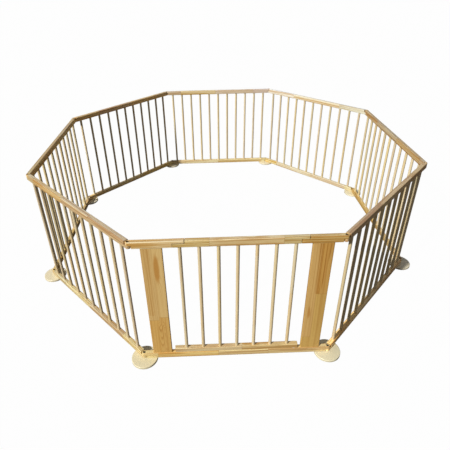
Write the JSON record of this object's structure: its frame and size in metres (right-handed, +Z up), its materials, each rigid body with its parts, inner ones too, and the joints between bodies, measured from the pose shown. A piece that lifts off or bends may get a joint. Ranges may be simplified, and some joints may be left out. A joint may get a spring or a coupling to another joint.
{
  "type": "playpen",
  "caption": "Octagonal pine playpen of hinged barred panels on round disc feet, with a swinging gate between two wide boards.",
  "frame": {"origin": "centre of the ring on the floor, at the bottom face of the foot discs", "axes": "+Z up; the gate panel faces -Y, +X to the right seen from outside the gate"},
  "size_m": [2.2302, 2.2302, 0.692],
  "materials": {
    "pine_rail": "clear-lacquered finger-jointed pine, satin",
    "pine_spindle": "clear-lacquered turned pine, satin",
    "pine_board": "clear-lacquered finger-jointed pine board, satin",
    "foot_wood": "pale lacquered wood, satin",
    "beech_dowel": "plain fluted beech, matt",
    "dark_steel": "black-passivated steel, semi-matt",
    "bright_steel": "zinc-plated steel, semi-gloss",
    "nylon": "natural nylon, matt",
    "brass": "plain turned brass"
  },
  "bodies": {
    "front_panel": {"front_bottom_rail": "pine_rail", "front_top_rail_left": "pine_rail", "front_top_rail_right": "pine_rail", "board_left": "pine_board", "board_right": "pine_board", "board_dowels": "beech_dowel", "gate_hinge_pins": "bright_steel", "gate_hinge_washer": "nylon", "latch_strike": "brass", "front_sleeve_nuts": "dark_steel", "front_corner_screws": "dark_steel", "front_knuckle_washers": "nylon", "foot_front_left": "foot_wood", "foot_front_right": "foot_wood"},
    "right_front_panel": {"right_front_top_rail": "pine_rail", "right_front_bottom_rail": "pine_rail", "right_front_spindles": "pine_spindle"},
    "right_panel": {"right_top_rail": "pine_rail", "right_bottom_rail": "pine_rail", "right_spindles": "pine_spindle", "right_sleeve_nuts": "dark_steel", "right_corner_screws": "dark_steel", "right_knuckle_washers": "nylon", "foot_right_front": "foot_wood", "foot_right_back": "foot_wood"},
    "right_back_panel": {"right_back_top_rail": "pine_rail", "right_back_bottom_rail": "pine_rail", "right_back_spindles": "pine_spindle"},
    "back_panel": {"back_top_rail": "pine_rail", "back_bottom_rail": "pine_rail", "back_spindles": "pine_spindle", "back_sleeve_nuts": "dark_steel", "back_corner_screws": "dark_steel", "back_knuckle_washers": "nylon", "foot_back_right": "foot_wood", "foot_back_left": "foot_wood"},
    "left_back_panel": {"left_back_top_rail": "pine_rail", "left_back_bottom_rail": "pine_rail", "left_back_spindles": "pine_spindle"},
    "left_panel": {"left_top_rail": "pine_rail", "left_bottom_rail": "pine_rail", "left_spindles": "pine_spindle", "left_sleeve_nuts": "dark_steel", "left_corner_screws": "dark_steel", "left_knuckle_washers": "nylon", "foot_left_back": "foot_wood", "foot_left_front": "foot_wood"},
    "left_front_panel": {"left_front_top_rail": "pine_rail", "left_front_bottom_rail": "pine_rail", "left_front_spindles": "pine_spindle"},
    "gate": {"gate_top_rail": "pine_rail", "gate_bottom_rail": "pine_rail", "gate_spindles": "pine_spindle"},
    "latch": {"latch_bolt": "bright_steel", "latch_knob": "bright_steel"}
  },
  "joints": [
    {"name": "corner_front_right", "type": "hinge", "parent": "front_panel", "child": "right_front_panel", "pos_m": [0.436, -1.0526, 0.346], "axis": [0, 0, 1], "range_deg": [-45, 45]},
    {"name": "corner_right_front", "type": "hinge", "parent": "right_front_panel", "child": "right_panel", "pos_m": [1.0526, -0.436, 0.346], "axis": [0, 0, 1], "range_deg": [-45, 45]},
    {"name": "corner_right_back", "type": "hinge", "parent": "right_panel", "child": "right_back_panel", "pos_m": [1.0526, 0.436, 0.346], "axis": [0, 0, 1], "range_deg": [-45, 45]},
    {"name": "corner_back_right", "type": "hinge", "parent": "right_back_panel", "child": "back_panel", "pos_m": [0.436, 1.0526, 0.346], "axis": [0, 0, 1], "range_deg": [-45, 45]},
    {"name": "corner_front_left", "type": "hinge", "parent": "front_panel", "child": "left_front_panel", "pos_m": [-0.436, -1.0526, 0.346], "axis": [0, 0, 1], "range_deg": [-45, 45]},
    {"name": "corner_left_front", "type": "hinge", "parent": "left_front_panel", "child": "left_panel", "pos_m": [-1.0526, -0.436, 0.346], "axis": [0, 0, 1], "range_deg": [-45, 45]},
    {"name": "corner_left_back", "type": "hinge", "parent": "left_panel", "child": "left_back_panel", "pos_m": [-1.0526, 0.436, 0.346], "axis": [0, 0, 1], "range_deg": [-45, 45]},
    {"name": "gate_swing", "type": "hinge", "parent": "front_panel", "child": "gate", "pos_m": [0.2715, -1.0526, 0.36], "axis": [0, 0, 1], "range_deg": [0, 100]},
    {"name": "latch_slide", "type": "slide", "parent": "gate", "child": "latch", "axis": [0, 0, 1], "range_m": [0, 0.007]}
  ],
  "couplings": [
    {"joint": "corner_right_front", "follows": "corner_front_right", "ratio": -1},
    {"joint": "corner_right_back", "follows": "corner_front_right", "ratio": 1},
    {"joint": "corner_back_right", "follows": "corner_front_right", "ratio": -1},
    {"joint": "corner_front_left", "follows": "corner_front_right", "ratio": 1},
    {"joint": "corner_left_front", "follows": "corner_front_right", "ratio": -1},
    {"joint": "corner_left_back", "follows": "corner_front_right", "ratio": 1}
  ]
}
